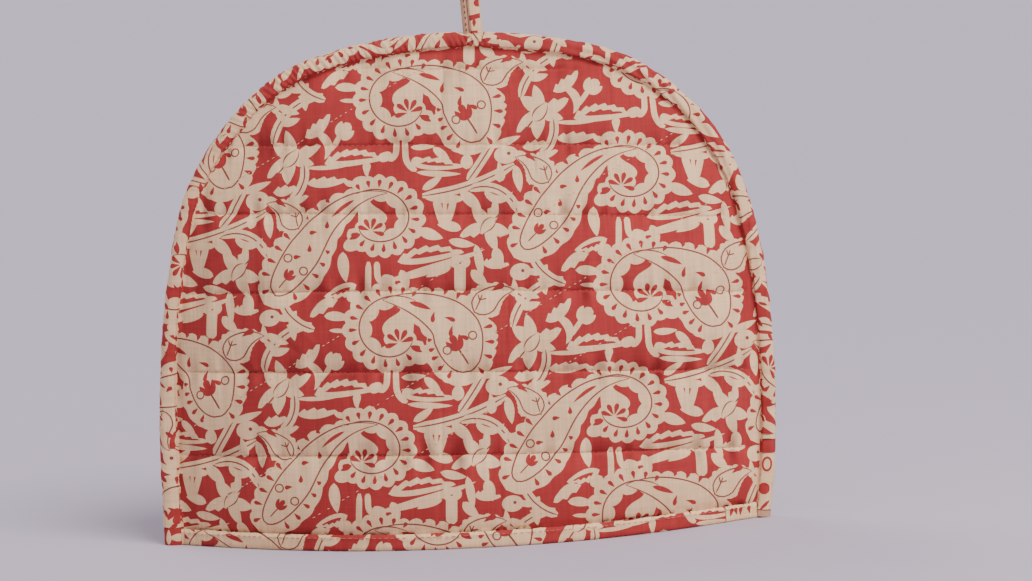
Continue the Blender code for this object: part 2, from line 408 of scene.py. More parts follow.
def paisley(radius, squash, foot_moves, foot_wide, lobes, bud_at):
    """A paisley round the middle of its head: a spiral line curls over a rosette, and the foot
    is one bent drop that leaves the top of the head to the right. foot_moves are its pen moves,
    and bud_at is the place, turn and size of the bud at its side."""
    share = np.linspace(0, 1, 44)
    turn = np.radians(58 + 272 * share)
    reach = radius * (1.03 - 0.48 * share**2.4)
    head = np.column_stack([reach * np.cos(turn), squash * reach * np.sin(turn)])
    start = (-0.35 * radius, 0.90 * squash * radius)
    neck = even(pen(start, 3, *foot_moves), 34)
    foot = ribbon(neck, foot_wide, DROP)
    # the scalloped band round both
    long_neck = even(pen(start, 3, *foot_moves, (BAND - 2, 0)), 34)
    art = cream(ribbon(long_neck, foot_wide + 2 * BAND, DROP, left=(13, 3), right=(9, 2)),
                beside(head, (11, 15, 16, 17, 17, 16, 13), 15, 3.4), head)
    # the red field and the lobes that hang into it
    art += red(ribbon(0.62 * head[3:36], 0.52 * radius, BEAN))
    line = even(0.83 * head, 4 * lobes + 1)
    for i in range(2, 4 * lobes, 4):
        lean = heading_of(line[i + 1] - line[i - 1])
        art += cream(oval(*line[i], 0.26 * radius, 0.19 * radius, lean))
    # the rosette on its cloud
    for heading in range(0, 360, 60):
        c, s = across_and_up(heading)
        x, y = 0.14 * radius + 0.22 * radius * c, 0.26 * radius * (s - 0.9)
        art += cream(oval(x, y, 0.22 * radius, 0.20 * radius))
    art += cream(stroke((0.1 * radius, -0.4 * radius), -38, (0.9 * radius, 20), 0.42 * radius, BEAN))
    for heading in (20, 62, 104, 146, 196):
        c, s = across_and_up(heading)
        start = (0.12 * radius + 1.5 * c, 1.5 * s - 0.34 * radius)
        art += red(stroke(start, heading, (0.36 * radius, 0), 0.14 * radius, DROP))
    art += red(stroke((0.42 * radius, -0.42 * radius), -34, (0.36 * radius, 12), 0.14 * radius))
    # the foot, with a long leaf, slanting leaves and a tulip between two rings
    art += cream(foot) + red(ribbon(neck[7:14], 0.11 * foot_wide))
    ahead = neck[-1] - neck[-3]
    back = heading_of(ahead) + 180
    for number, place in enumerate(neck[14:24:3]):
        side = 1 if number % 2 else -1
        art += red(stroke(place, back + 180 + side * 52, (0.24 * foot_wide, -side * 24), 4.4, DROP))
    art += moved(tulip(), *neck[31], back, foot_wide / 38)
    ring = moved(ink(oval(0, 0, 4.6, 4.6)) + cream(oval(0, 0, 3.2, 3.2)), *neck[25])
    for side in (-1, 1):
        across = side * 0.30 * foot_wide * np.array((-ahead[1], ahead[0])) / np.hypot(*ahead)
        art += [(tone, shape + across) for tone, shape in ring]
    # seeds round the band, and the drawn lines
    art += red(*seeds(head, 15, 1.7, (7, 9, 9, 9, 9, 8), -1, (-10, 12, 0, 12, 0)),
               *seeds(foot[10:34], 9, 1.6, (5, 8, 10, 10, 9), 1, (-15, 10, 0, -10)),
               *seeds(foot[36:50], 5, 1.6, (9, 9, 7, 5), 1, (10, -10, 10)))
    return art + drawn(head, OUTLINE) + drawn(foot, OUTLINE) + moved(bud(), *bud_at)


def curled_paisley():
    """The compact one: its foot stands at the lower right of its head."""
    art = paisley(36, 0.92, ((62, -36), (28, -44), (34, 20)), 48, 7, (78, 16, 34, 1.0))
    return moved(art, -32, -3)


def leaning_paisley():
    """The long one: mirrored, with a narrow foot that runs down to the left."""
    art = paisley(34, 0.84, ((42, -36), (46, -26), (70, 10)), 33, 8, (76, -10, 42, 0.9))
    return moved(art, 184, -76, mirror=-1)


def sprigs():
    """Stems, leaves, flowers and birds between the paisleys: each with its place, turn and size."""
    art = []
    for motif, *place in (
        # right of the curled paisley
        (double_stem(74, -76, 2), 82, 0, 44), (bird(), 90, 50, 0, 1.1),
        (double_stem(44, 52, 1), 101, 70, -40), (leaf(30, 11, 20, 3), 156, 72, 208),
        (leaf(26, 11, -20), 143, 56, -6), (leaf(22, 5), 148, 42, -2), (eye_flower(), 101, -14, 24, 1.15),
        (leaf(34, 14, 34, 4), 114, 6, 42), (leaf(34, 10, -120), 124, 10, -70),
        (tulip(CREAM, 19), 138, -8, 52), (leaf(60, 20, -34, 7, True), 134, -21, 4),
        (leaf(40, 5, 8), 116, -25, 2), (bird(False), 170, -37, 180), (leaf(24, 12, 14), 176, -52, 60),
        (leaf(40, 12, 10, 4), 117, -40, 4), (double_stem(40, -70), 114, -22, -110),
        (leaf(24, 12, 16, 3), 84, -49, 12), (leaf(26, 10, 10, 3), 94, -60, 16),
        # over the curled paisley
        (pillar(), 31, 34, 90), (leaf(26, 9, 20), 22, 58, 200), (leaf(20, 11, -14), -27, 56, -70),
        (leaf(22, 12, 14), 42, 56, -44), (leaf(26, 12, 0, 5), 53, 63, -4), (leaf(22, 13), 65, 78, -74),
        # under the curled paisley
        (hook(13, -72), -40, -40, -90), (hook(19, 66), -32, -40, -86),
        (leaf(52, 15, -12, 5, True), -26, -66, -4), (leaf(24, 8, 12), -26, -49, 4),
        (leaf(24, 10, -12), -4, -49, -44), (leaf(44, 7, 8), -20, -75, -2), (leaf(17, 14), 29, -72, 88),
        (leaf(34, 10, 8, 4), 14, -52, 8), (leaf(32, 9, 6), 52, -49, 20), (double_stem(46, -8), 55, -44, -122),
        (double_stem(96, 26), -14, -98, 19), (bird(False), 68, -62, 2, 1.25),
        (double_stem(58, -96), 32, -92, -24), (leaf(24, 9, 12), -14, -92, 36),
        (leaf(28, 13, -14), 23, -94, -42), (leaf(34, 9, 130), 47, -92, -4),
        (leaf(27, 11), 77, -68, -80), (leaf(18, 12), 95, -70, -104), (leaf(15, 8), 74, -104, -26),
        (stalks(), 8, -128, 90), (leaf(26, 13, 10), -18, -131, -20), (eye_flower(5), 50, -128, 200, 1.08),
        (leaf(34, 10, -10), 38, -146, -80), (leaf(26, 10, 12), 12, -142, -10),
        # under the leaning paisley's head and right of it
        (leaf(98, 10, 10), 198, -136, 18), (leaf(66, 19, -22, 6, True), 206, -118, 8),
        (hook(26, -58), 178, -118, -92), (hook(12, 74), 186, -118, -88), (leaf(30, 13, 12), 153, -108, -84),
        (leaf(34, 15, -14, 4, True), 166, -140, 200), (leaf(28, 13, -10, 3), 142, -153, 222),
    ):
        art += moved(motif, *place)
    return art


# every shape of one repeat, in the order they are laid down
REPEAT = sprigs() + leaning_paisley() + curled_paisley()
REPEAT_LOW = np.min([shape.min(0) for _, shape in REPEAT], axis=0)
REPEAT_HIGH = np.max([shape.max(0) for _, shape in REPEAT], axis=0)


def print_over(low, high, chart):
    """The print's shapes over a box of flat cloth; chart is (x, y, turn in degrees, mirror) of
    the chart's origin on that cloth."""
    x, y, turn, mirror = chart
    c, s = across_and_up(turn)
    matrix = CHART_STEP * np.array(((c, s), (-s, c))) * np.array((mirror, 1))
    corners = [(i, j) for i in (REPEAT_LOW[0], REPEAT_HIGH[0]) for j in (REPEAT_LOW[1], REPEAT_HIGH[1])]
    shifts = []
    for up in range(-REPEATS_EACH_WAY, REPEATS_EACH_WAY + 1):
        for over in range(-REPEATS_EACH_WAY, REPEATS_EACH_WAY + 1):
            shift = np.array(REPEAT_UP) * up + np.array(REPEAT_OVER) * over
            reach = (np.array(corners) + shift) @ matrix + (x, y)
            if (reach.max(0) > low).all() and (reach.min(0) < high).all():
                shifts.append(shift)
    made = []
    for tone, shape in REPEAT:
        for shift in shifts:
            placed = (shape + shift) @ matrix + (x, y)
            if (placed.max(0) > low).all() and (placed.min(0) < high).all():
                made.append((tone, placed))
    return made


# ---- Cotton ----
# Plain-weave cotton, matt, slightly uneven in its threads and its dye. Each tone of the print, the
# plain cloth and the sewing threads are this cotton in colours of their own.

class Shader:
    """A socket of a node tree that takes part in ordinary arithmetic."""

    def __init__(self, tree, socket):
        self.tree, self.socket = tree, socket

    def node(self, kind, settings=(), **inputs):
        made = self.tree.nodes.new(kind)
        for name, value in dict(settings).items():
            setattr(made, name, value)
        for name, value in inputs.items():
            key = int(name[1:]) if name[0] == "i" and name[1:].isdigit() else name.replace("_", " ")
            target = made.inputs[key]
            if isinstance(value, Shader):
                self.tree.links.new(value.socket, target)
            else:
                target.default_value = value
        return made

    def out(self, made, name=0):
        return Shader(self.tree, made.outputs[name])

    def maths(self, operation, *values):
        inputs = {f"i{i}": value for i, value in enumerate(values)}
        return self.out(self.node("ShaderNodeMath", {"operation": operation}, **inputs))

    def __add__(self, other):
        return self.maths("ADD", self, other)

    def __radd__(self, other):
        return self.maths("ADD", other, self)

    def __sub__(self, other):
        return self.maths("SUBTRACT", self, other)

    def __rsub__(self, other):
        return self.maths("SUBTRACT", other, self)

    def __mul__(self, other):
        return self.maths("MULTIPLY", self, other)

    def __rmul__(self, other):
        return self.maths("MULTIPLY", other, self)


def cotton(name, colour, shade):
    """A colour and its darker shade, which drift into each other over the cloth and its threads."""
    material = bpy.data.materials.new(name)
    material.use_nodes = True
    tree = material.node_tree
    shader = tree.nodes["Principled BSDF"]
    shader.inputs["Roughness"].default_value = 0.92
    shader.inputs["Specular IOR Level"].default_value = 0.25
    place = Shader(tree, tree.nodes.new("ShaderNodeTexCoord").outputs["Object"])
    drift = place.node("ShaderNodeTexNoise", Vector=place, Scale=55.0, Detail=3.0)
    slub = place.node("ShaderNodeTexNoise", Vector=place, Scale=900.0, Detail=2.0)
    threads = []
    for stretch in ((900, 70, 40), (50, 70, 800)):
        pulled = place.out(place.node("ShaderNodeMapping", Vector=place, Scale=stretch))
        threads.append(place.out(place.node("ShaderNodeTexNoise", Vector=pulled, Scale=1.0, Detail=1.0)))
    share = place.out(drift) * 0.9 + threads[0] * 1.3 + threads[1] * 0.8 - 1.0
    mixed = place.node("ShaderNodeMix", {"data_type": "RGBA"}, Factor=share)
    for index, value in ((6, shade), (7, colour)):
        mixed.inputs[index].default_value = (*value, 1)
    tree.links.new(mixed.outputs[2], shader.inputs["Base Color"])
    bump = place.node("ShaderNodeBump", Strength=0.25, Distance=0.0002, Height=place.out(slub))
    tree.links.new(bump.outputs[0], shader.inputs["Normal"])
    return material


PRINT = [
    cotton("print_red", (0.402, 0.0368, 0.0352), (0.30, 0.0278, 0.0266)),
    cotton("print_cream", (0.895, 0.595, 0.343), (0.70, 0.445, 0.245)),
    cotton("print_ink", (0.27, 0.060, 0.050), (0.21, 0.050, 0.044)),
]
# A browner, darker copy of the cream: painted shade for the strips' folds that turn from the light.
PAINTED_SHADE_CLOTH = cotton("painted_shade_cloth", (0.54, 0.31, 0.19), (0.44, 0.24, 0.15))
PLAIN_CREAM = cotton("plain_cream", (0.82, 0.55, 0.34), (0.70, 0.46, 0.28))
PALE_THREAD = cotton("pale_thread", (0.92, 0.58, 0.40), (0.80, 0.46, 0.32))
SEAM_THREAD = cotton("seam_thread", (0.60, 0.25, 0.19), (0.46, 0.16, 0.13))
# Near-black thread. Along the roll's grooves it is thread and painted shade in the groove together.
DARK_THREAD_AND_SHADE = cotton("dark_thread_and_shade", (0.16, 0.050, 0.045), (0.12, 0.040, 0.035))


# ---- Printed cloth as a mesh ----
# The print is cut into the cloth's own faces: the shapes' outlines are edges of the mesh, and
# each face takes the tone it lies in.

MM = 0.001
MERGE_WITHIN = 1e-3


def inside(points, outline):
    """Which points lie in an outline, by its winding."""
    x, y = points.T
    turns = np.zeros(len(points), int)
    for (ax, ay), (bx, by) in zip(outline, np.roll(outline, -1, axis=0)):
        side = (bx - ax) * (y - ay) - (x - ax) * (by - ay)
        turns += ((ay <= y) & (by > y) & (side > 0)).astype(int)
        turns -= ((ay > y) & (by <= y) & (side < 0)).astype(int)
    return turns != 0


def tones_at(points, shapes):
    """The tone on top at each point."""
    order = np.argsort(points[:, 0])
    ranked = points[order]
    tones = np.full(len(points), RED)
    for tone, shape in shapes:
        low, high = shape.min(0), shape.max(0)
        first, last = np.searchsorted(ranked[:, 0], (low[0], high[0]))
        near = order[first:last]
        near = near[(points[near, 1] >= low[1]) & (points[near, 1] <= high[1])]
        if len(near):
            tones[near[inside(points[near], shape)]] = tone
    return tones


def cut_cloth(outline, extra, shapes):
    """Flat points, triangles and their tones for cloth inside an outline."""
    points, edges = [], []
    for ring in [outline] + [shape for _, shape in shapes]:
        first, count = len(points), len(ring)
        points += [Vector(p) for p in ring]
        edges += [(first + i, first + (i + 1) % count) for i in range(count)]
    points += [Vector(p) for p in extra]
    made = delaunay_2d_cdt(points, edges, [], 0, MERGE_WITHIN, False)
    flat = np.array([tuple(p) for p in made[0]])
    faces = np.array(made[2])
    middles = flat[faces].mean(1)
    kept = inside(middles, outline)
    faces, middles = faces[kept], middles[kept]
    used, faces = np.unique(faces, return_inverse=True)
    return flat[used], faces.reshape(-1, 3), tones_at(middles, shapes)


def grid_points(low, high, step):
    across, up = [np.arange(low[i], high[i], step) for i in (0, 1)]
    return np.array([(x, y) for x in across for y in up])


def normals_of(surface, x, v, reach=0.25):
    """Normals of a surface given as a function of its flat places."""
    across = surface(x + reach, v) - surface(x - reach, v)
    up = surface(x, v + reach) - surface(x, v - reach)
    normal = np.cross(across, up)
    return normal / (np.linalg.norm(normal, axis=1)[:, None] + 1e-12)


def raised(surface, x, v, lift, reach=0.25):
    """The places of a surface lifted along its normals."""
    return surface(x, v) + normals_of(surface, x, v, reach) * lift[:, None]


def in_scene(name, data):
    made = bpy.data.objects.new(name, data)
    bpy.context.scene.collection.objects.link(made)
    return made


def sewn_piece(name, points, faces, materials, tones=None, normals=None):
    """A piece of the cosy in metres, from points in millimetres; tones pick each face's material."""
    mesh = bpy.data.meshes.new(name)
    mesh.from_pydata((points * MM).tolist(), [], faces)
    for material in materials:
        mesh.materials.append(material)
    if tones is not None:
        mesh.polygons.foreach_set("material_index", np.array(tones, np.int32))
    mesh.shade_smooth()
    mesh.update()
    if normals is not None:
        mesh.normals_split_custom_set_from_vertices(normals.tolist())
    made = in_scene(name, mesh)
    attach(made, "root")
    return made


def rim_of(flat, faces):
    """The points round the edge of a mesh of flat triangles, in order."""
    pairs = {(a, b) for face in faces.tolist() for a, b in zip(face, face[1:] + face[:1])}
    after = {a: b for a, b in pairs if (b, a) not in pairs}
    start = min(after, key=lambda i: flat[i, 0])
    rim = [start]
    while after[rim[-1]] != start and len(rim) <= len(after):
        rim.append(after[rim[-1]])
    return np.array(rim)


WAVES = 5


def waves(x, y, length, seed):
    """Gentle unevenness of about the given length, from -1 to 1."""
    draws = np.random.default_rng(seed)
    total = np.zeros(len(x))
    for _ in range(WAVES):
        angle, phase = draws.uniform(0, 2 * np.pi, 2)
        pitch = length * draws.uniform(0.7, 1.5)
        total += np.sin(2 * np.pi * (x * np.cos(angle) + y * np.sin(angle)) / pitch + phase)
    return total / WAVES


# ---- Quilted panels ----
# Printed cotton over wadding with a plain lining, machine-quilted in level lines, so each
# channel stands up between its sewn lines and puckers where the thread pulls it down. A few
# slanting rows of long stitches hold the wadding, and old folds still show as creases.

FACE_STEP = 3.2
UNDER_EDGE = 3.0
UNDER_HEM = 5.0
HEM_HIGH = 9.0
EDGE_PINCH = 9.0
BACK_LINES_DOWN = 3.5
SEAM_ROWS = (-5.4, -3.4, -2.0, -1.1, -0.5, 0.0, 0.5, 1.1, 2.0, 3.4, 5.4)
SEAM_STEP = 2.0
SEAM_LIFT = 0.2
CROWN_LIFT = 4.3
LINING_LIFT = (1.5, 3.6)
CHANNEL_ROUND = 0.48
SHALLOW_CHANNEL = 12.0
PUCKER_DEEP = 0.55
PUCKER_PITCH = 8.0
PUCKER_REACH = 6.5
STITCH_MARGIN = 9.0
STITCHES_OVER_HEM = 8
# Depth and length of the face's gentle unevenness.
UNEVEN = ((0.35, 34.0), (0.16, 13.0))

# Creases: from and to on the pattern, depth (a ridge if negative) and half width.
FRONT_CREASES = (
    (-4, 250, -6, 212, 0.65, 1.1), (-12, 84, -16, 12, 0.60, 1.1), (42, 208, 41, 188, 0.55, 1.0),
    (17, 44, 15, 10, 0.50, 1.0), (85, 248, 83, 214, 0.40, 1.2), (26, 144, 22, 98, 0.60, 1.1),
    (-94, 203, -86, 188, 0.40, 1.6), (-84, 200, -80, 186, -0.35, 1.8), (-96, 112, -84, 98, 0.35, 1.6),
    (-88, 116, -76, 104, -0.30, 1.8), (60, 96, 78, 90, 0.30, 2.0), (-130, 150, -112, 158, 0.30, 2.2),
    (98, 176, 120, 168, 0.30, 2.2), (-60, 40, -40, 30, 0.30, 2.0), (120, 70, 132, 52, 0.35, 2.2),
)
BACK_CREASES = (
    (8, 248, 10, 206, 0.40, 1.1), (12, 120, 14, 20, 0.40, 1.1), (-70, 196, -58, 184, 0.35, 1.8),
    (-30, 90, -12, 82, 0.30, 2.0), (90, 150, 104, 138, 0.35, 2.0), (-110, 60, -98, 44, 0.30, 2.2),
)
# A place on each slanting row of stitches, and how far the rows run each way from it.
SLANT_ROWS = ((10, 262), (4, 146), (2, 98), (0, 59))
SLANT = math.radians(29)
SLANT_REACH = 330 * np.array((math.cos(SLANT), math.sin(SLANT)))


def channel_fullness(x, v, lower):
    """0 at a sewn line, 1 where the wadding is full."""
    heights = [height_on_pattern(x, HEM_HIGH)] + [line_height(line, x, lower) for line in SEWN_LINES]
    top = np.interp(x, PANEL_EDGE[:, 0], PANEL_EDGE[:, 1])
    heights.append(np.maximum(top, heights[-1] + 1))
    full = np.zeros(len(x))
    for below, above in zip(heights, heights[1:]):
        tall = np.maximum(above - below, 1.0)
        share = np.clip((v - below) / tall, 0, 1)
        here = (4 * share * (1 - share)) ** CHANNEL_ROUND * (1 - np.exp(-tall / SHALLOW_CHANNEL))
        full = np.where((v >= below) & (v < above), here, full)
    return full * (1 - np.exp(-edge_distance(x, v) / EDGE_PINCH))


def hump(x, middle, reach):
    """A smooth hump, 1 at its middle and fading out over its reach to each side."""
    return np.exp(-(((x - middle) / reach) ** 2))


def creased(x, v, creases):
    """Depth of the creases at each place: soft troughs that fade out at both ends."""
    depth = np.zeros(len(x))
    for x0, v0, x1, v1, deep, half in creases:
        long = math.hypot(x1 - x0, v1 - v0)
        along = ((x - x0) * (x1 - x0) + (v - v0) * (v1 - v0)) / long**2
        off = ((x - x0) * (v1 - v0) - (v - v0) * (x1 - x0)) / long
        off = off + 0.8 * np.sin(3.1 * along + x0)
        fade = np.clip(1 - (2 * np.clip(along, -0.3, 1.3) - 1) ** 4 / 1.6, 0, 1)
        depth += deep * fade * hump(off, 0, half)
    return depth


def pad_face(side, lower, seed, creases, outer):
    """One face of a panel as a function of its flat places: printed outside or plain inside."""
    low, high = (SEAM_LIFT, CROWN_LIFT) if outer else LINING_LIFT

    def middle(x, v):
        return stand(x, v, side)

    def surface(x, v):
        lift = low + (high - low) * channel_fullness(x, v, lower)
        if outer:
            for number, line in enumerate(SEWN_LINES):
                height = line_height(line, x, lower)
                away, above = np.abs(v - height), v > height
                pull = waves(x, 0 * x, PUCKER_PITCH, seed + number + 10 * above)
                fade = np.exp(-away / PUCKER_REACH) * np.minimum(1, away / 1.4)
                lift = lift + PUCKER_DEEP * pull * fade
            for number, (deep, pitch) in enumerate(UNEVEN):
                lift = lift + deep * waves(x, v, pitch, seed + 20 + number)
            lift = lift - creased(x, v, creases)
        return raised(middle, x, v, (-side if outer else side) * lift, 0.6)

    return surface


def stitches(name, surface, turn, rows, thick, material):
    """Threads lying on a cloth: each comes up at its start, arches over and goes down at its
    end. A row holds both as flat places on the cloth."""
    sides = 5
    starts, ends = [np.vstack(places) for places in zip(*rows)]
    profile = ((0.0, 0.35, -0.3), (0.2, 0.9, 0.5), (0.5, 1.0, 0.8), (0.8, 0.9, 0.5), (1.0, 0.35, -0.3))
    start_points, end_points = surface(*starts.T), surface(*ends.T)
    along = end_points - start_points
    along /= np.linalg.norm(along, axis=1)[:, None] + 1e-9
    rings = []
    for t, full, high in profile:
        place = starts + (ends - starts) * t
        out = turn * normals_of(surface, *place.T)
        wide = np.cross(out, along)
        middle = surface(*place.T) + out * thick * high
        for i in range(sides):
            a = 2 * math.pi * i / sides
            rings.append(middle + full * thick / 2 * (math.cos(a) * wide + math.sin(a) * out))
    count = len(starts)
    points = np.stack(rings, 1).reshape(-1, 3)
    after = [(i + 1) % sides for i in range(sides)]
    quads = [(k + i, k + after[i], k + sides + after[i], k + sides + i)
             for k in range(0, sides * (len(profile) - 1), sides) for i in range(sides)]
    size = sides * len(profile)
    faces = (np.array(quads)[None] + size * np.arange(count)[:, None, None]).reshape(-1, 4).tolist()
    for first in range(0, size * count, size):
        faces.append(list(range(first, first + sides))[::-1])
        faces.append(list(range(first + size - sides, first + size)))
    sewn_piece(name, points, faces, [material])


def sewn_row(path, pitch, long, seed, unsewn=0.0):
    """Starts and ends of stitches along a path, a little uneven, with a share left out."""
    draws = np.random.default_rng(seed)
    at = np.arange(pitch, run_of(path)[-1] - pitch, pitch)
    at = at + draws.uniform(-0.08, 0.08, len(at)) * pitch
    at = at[draws.uniform(0, 1, len(at)) >= unsewn]
    half = long / 2 * draws.uniform(0.85, 1.1, len(at))
    return along_path(path, at - half), along_path(path, at + half)


def within_panel(starts, ends, margin):
    """The stitches of a row that lie inside the panel's edge by a margin."""
    middle = (starts + ends) / 2
    kept = (edge_distance(*middle.T) > margin) & (middle[:, 1] > UNDER_HEM + STITCHES_OVER_HEM)
    climb = DOME[:np.argmax(DOME[:, 1])]
    kept &= np.abs(middle[:, 0]) < np.interp(middle[:, 1], climb[:, 1], -climb[:, 0]) - margin
    return starts[kept], ends[kept]


def quilted_panel(name, node, side, lower, seed, chart, creases):
    """One panel as a closed pad, printed outside and plain inside, with its quilting thread."""
    offset = edge_wide(DOME_RUN) + PANEL_INSET - UNDER_EDGE
    curve = DOME - DOME_OUT * offset[:, None]
    curve = curve[curve[:, 1] > UNDER_HEM]
    left, right = curve[0, 0], curve[-1, 0]
    across = np.linspace(right, left, 90)
    bottom = np.column_stack([across, height_on_pattern(across, UNDER_HEM)])
    outline = np.vstack([bottom, curve])[::-1]
    low, high = outline.min(0), outline.max(0)
    rows = [grid_points(low, high, FACE_STEP)]
    seam_x = np.arange(low[0], high[0], SEAM_STEP)
    for line in SEWN_LINES:
        rows += [np.column_stack([seam_x, line_height(line, seam_x, lower) + away]) for away in SEAM_ROWS]
    for x0, v0, x1, v1, _, half in creases:
        t = np.linspace(0, 1, round(math.hypot(x1 - x0, v1 - v0) / SEAM_STEP))
        rows += [np.column_stack([x0 + (x1 - x0) * t + off, v0 + (v1 - v0) * t]) for off in (-half, 0, half)]
    flat, faces, tones = cut_cloth(outline, np.vstack(rows), print_over(low, high, chart))
    outer = pad_face(side, lower, seed, creases, True)
    inner = pad_face(side, lower, seed, creases, False)
    # the lining is cut to the very same edge, and a wall joins the two round it
    rim = rim_of(flat, faces)
    back_flat, back_faces, _ = cut_cloth(flat[rim], grid_points(low, high, 2.2 * FACE_STEP), [])
    place_of = {tuple(np.round(p, 3)): i for i, p in enumerate(back_flat)}
    back_rim = [place_of[tuple(np.round(flat[i], 3))] + len(flat) for i in rim]
    points = np.vstack([outer(*flat.T), inner(*back_flat.T)])
    turned = -side * np.vstack([normals_of(outer, *flat.T), -normals_of(inner, *back_flat.T)])
    walls = [(a, c, b) for a, b, c in zip(rim, np.roll(rim, -1), back_rim)]
    walls += [(b, c, d) for b, c, d in zip(np.roll(rim, -1), back_rim, np.roll(back_rim, -1))]
    faces = np.vstack([faces, back_faces[:, ::-1] + len(flat), np.array(walls)])
    faces = faces if side < 0 else faces[:, ::-1]
    tones = np.concatenate([tones, np.full(len(faces) - len(tones), LINING_AND_SHADE)])
    made = sewn_piece(name, points, faces, PRINT + [PLAIN_CREAM], tones, turned)
    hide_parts(node)
    # quilting thread along the sewn lines and in the slanting rows
    x = np.linspace(low[0], high[0], 160)
    sewn = []
    for i, line in enumerate(SEWN_LINES):
        path = np.column_stack([x, line_height(line, x, lower)])
        sewn.append(within_panel(*sewn_row(path, 2.9, 2.1, seed + 40 + i), STITCH_MARGIN))
    stitches(name + "_seams", outer, -side, sewn, 0.30, SEAM_THREAD)
    sewn = []
    for i, place in enumerate(SLANT_ROWS):
        path = np.array([place - SLANT_REACH, place + SLANT_REACH])
        sewn.append(within_panel(*sewn_row(path, 3.0, 1.6, seed + 50 + i, 0.12), STITCH_MARGIN + 1))
    stitches(name + "_slants", outer, -side, sewn, 0.36, PALE_THREAD)


# how the print lies on each panel: the chart's origin, its turn and whether it is mirrored
FRONT_CHART = (-17.5, 110.9, -2.727, 1)
BACK_CHART = (-31.0, 61.0, 0.0, -1)
quilted_panel("front_quilted_panel", "front_panel", -1, 0.0, 1, FRONT_CHART, FRONT_CREASES)
quilted_panel("back_quilted_panel", "back_panel", 1, BACK_LINES_DOWN, 60, BACK_CHART, BACK_CREASES)


# ---- Strips ----
# The bindings and the loop are strips of the same printed cotton, cut on the bias or the
# straight, one layer of cloth with their long edges turned in out of sight.

STRIP_STEP = 1.6
SEAM_GROOVE = 0.6


def strip_cloth(name, node, long, wide, chart, place, turn, step=STRIP_STEP, art=()):
    """place gives a point for each distance along and across the flat strip; turn is 1 or -1 so
    that the printed side faces out; art is laid over the strip's own print."""
    edge_s, edge_w = np.arange(0, long, step), np.arange(0, wide, step)
    outline = np.vstack([
        np.column_stack([edge_s, 0 * edge_s]), np.column_stack([0 * edge_w + long, edge_w]),
        np.column_stack([long - edge_s, 0 * edge_s + wide]), np.column_stack([0 * edge_w, wide - edge_w]),
    ])
    extra = grid_points((step / 2, step / 2), (long, wide), step)
    shapes = print_over((0, 0), (long, wide), chart) + list(art)
    flat, faces, tones = cut_cloth(outline, extra, shapes)
    normals = turn * normals_of(place, *flat.T)
    faces = faces if turn > 0 else faces[:, ::-1]
    # faces in the fourth tone take the brown cloth of painted shade
    made = sewn_piece(name, place(*flat.T), faces, PRINT + [PAINTED_SHADE_CLOTH], tones, normals)
    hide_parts(node)
    return made


def patch(s0, s1, w0, w1):
    """A straight-sided piece of a strip from s0 to s1 along it and w0 to w1 across it."""
    return np.array([(s0, w0), (s1, w0), (s1, w1), (s0, w1)])


def bar(start, end, wide, kind=LEAF):
    """A straight ribbon from one place on a strip to another."""
    return ribbon(np.array([start, end]), wide, kind)


def folded_section(corners):
    """A strip's folded shape across its width, in millimetres, and its developed width."""
    section = smooth_path(corners, 4)
    return section, run_of(section)[-1]


# ---- Edge roll ----
# One bias strip, rolled over both panels' edges from floor to floor and sewn through, with the
# small slanting gathers of cloth that is turned round a curve.

EDGE_THICK = 10.4
half_roll = [(-0.60, 0.20), (-0.52, 0.33), (-0.46, 0.44), (-0.30, 0.50), (-0.04, 0.51), (0.20, 0.46),
             (0.38, 0.34), (0.48, 0.17)]
roll_corners = half_roll + [(0.505, 0.0)] + [(across, -through) for across, through in half_roll[::-1]]
ROLL_SECTION, ROLL_SHARE = folded_section([(a * EDGE_WIDE, t * EDGE_THICK) for a, t in roll_corners])
EDGE_LONG = DOME_RUN[-1]
ROLL_SEAM = 2.2
ROLL_SEAM_DEEP = 0.75
LOOP_FOOT = (12.2, 264.0)
LOOP_PLACE = DOME_RUN[np.argmin(np.abs(DOME[:, 0] - LOOP_FOOT[0]) + (DOME[:, 1] < 200) * 1e3)]
LOOP_REACH = 7
TWIST_MIDDLE = 500.0
TWIST_REACH = 110.0
GATHERED_AT = 300.0
GATHERED_REACH = 70.0
ROLL_STEP = 1.15


def roll_body(along, across):
    """The plain roll: places along the dome's outline and across the strip, round its section."""
    middle = along_path(DOME, along)
    out = at_places(along, DOME_RUN, DOME_OUT)
    section = along_path(ROLL_SECTION, across)
    wide = edge_wide(along)
    reach = section[:, 0] * wide / EDGE_WIDE - wide / 2
    placed = middle + out * reach[:, None]
    return np.column_stack([placed[:, 0], -section[:, 1], np.maximum(placed[:, 1], 0)])


def roll_gathered(along, across):
    """The roll with its slanting gathers, its twists over the top and its sewn grooves."""
    gathers = waves(along, 0.55 * across, 6.5, 7) * (0.6 + 0.4 * waves(along, 0 * across, 60, 8))
    twist = np.sin(2 * np.pi * (across / 5.2 + along / 34 + 0.4 * np.sin(along / 19)))
    lift = 0.50 * gathers + 0.25 * waves(along, across, 17, 9)
    lift = lift + 0.42 * hump(along, TWIST_MIDDLE, TWIST_REACH) * twist
    close = 2 * np.pi * (along + 0.35 * across + 0.8 * np.sin(along / 5)) / 3.4
    lift = lift + hump(along, GATHERED_AT, GATHERED_REACH) * 0.30 * np.sin(close)
    by_loop = 2 * np.pi * (along + 0.5 * across) / 3.1
    lift = lift + hump(along, LOOP_PLACE, LOOP_REACH) * (0.45 * np.sin(by_loop) - 0.5)
    for seam in (ROLL_SEAM, ROLL_SHARE - ROLL_SEAM):
        lift = lift - ROLL_SEAM_DEEP * hump(across, seam, SEAM_GROOVE)
    return raised(roll_body, along, across, lift)
